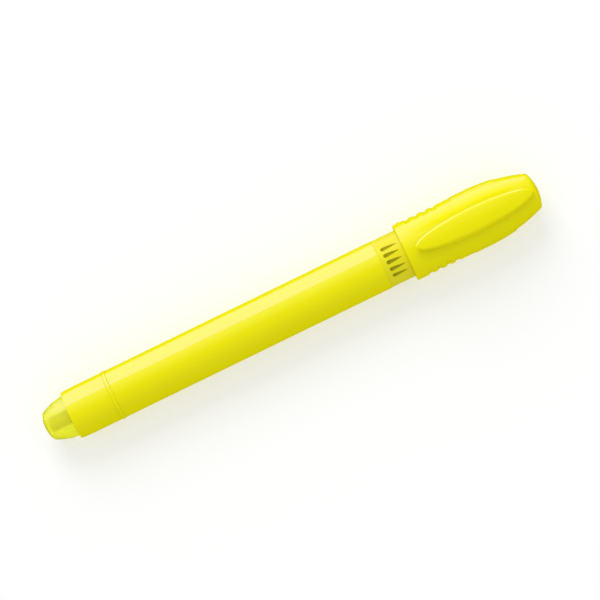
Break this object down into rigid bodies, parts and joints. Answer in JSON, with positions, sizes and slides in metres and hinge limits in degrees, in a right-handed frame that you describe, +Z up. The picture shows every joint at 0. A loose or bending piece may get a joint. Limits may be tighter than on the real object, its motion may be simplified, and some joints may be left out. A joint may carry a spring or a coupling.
{
  "type": "retractable highlighter",
  "caption": "Twist-up gel highlighter with a pull-off cap and pocket clip; a clear end knob winds the gel stick in and out.",
  "frame": {"origin": "centre of the pen's box at its lowest level, under the pen's middle, on the surface that it lies on", "axes": "+X along the pen from the twist knob to the closed end of the cap, +Z up through the pocket clip, +Y to the side with the small pip"},
  "size_m": [0.1354, 0.0154, 0.0167],
  "materials": {
    "yellow_plastic": "gloss injection-moulded fluorescent yellow",
    "clear_yellow_plastic": "clear tinted yellow, gloss",
    "white_plastic": "natural moulded white",
    "grey_plastic": "moulded grey acetal",
    "black_rubber": "satin",
    "steel": "stamped",
    "gel": "waxy fluorescent gel"
  },
  "bodies": {
    "barrel": {"barrel_tube": "yellow_plastic", "tail_sleeve": "yellow_plastic", "trim_ring": "yellow_plastic", "guide_sleeve": "white_plastic", "thrust_washer": "steel", "collar": "yellow_plastic", "nozzle": "yellow_plastic", "nozzle_seal": "black_rubber"},
    "knob": {"twist_knob": "clear_yellow_plastic", "knob_coupling": "yellow_plastic", "snap_ring": "steel", "drag_ring": "black_rubber", "lead_screw": "white_plastic"},
    "carriage": {"carrier_nut": "grey_plastic", "gel_holder": "white_plastic", "gel_stick": "gel"},
    "cap": {"cap_shell": "yellow_plastic", "cap_liner": "white_plastic"},
    "clip": {"pocket_clip": "yellow_plastic"}
  },
  "joints": [
    {"name": "knob_twist", "type": "hinge", "parent": "barrel", "child": "knob", "pos_m": [-0.0677, 0, 0.0069], "axis": [1, 0, 0], "range_deg": [0, 1080]},
    {"name": "gel_feed", "type": "slide", "parent": "barrel", "child": "carriage", "axis": [1, 0, 0], "range_m": [0, 0.0165]},
    {"name": "cap_pull", "type": "slide", "parent": "barrel", "child": "cap", "axis": [1, 0, 0], "range_m": [0, 0.04]},
    {"name": "clip_flex", "type": "hinge", "parent": "cap", "child": "clip", "pos_m": [0.063, 0, 0.0125], "axis": [0, 1, 0], "range_deg": [0, 5], "stiffness_Nm_per_rad": 1.25}
  ],
  "couplings": [
    {"joint": "knob_twist", "follows": "gel_feed", "rad_per_m": 1142.4}
  ]
}
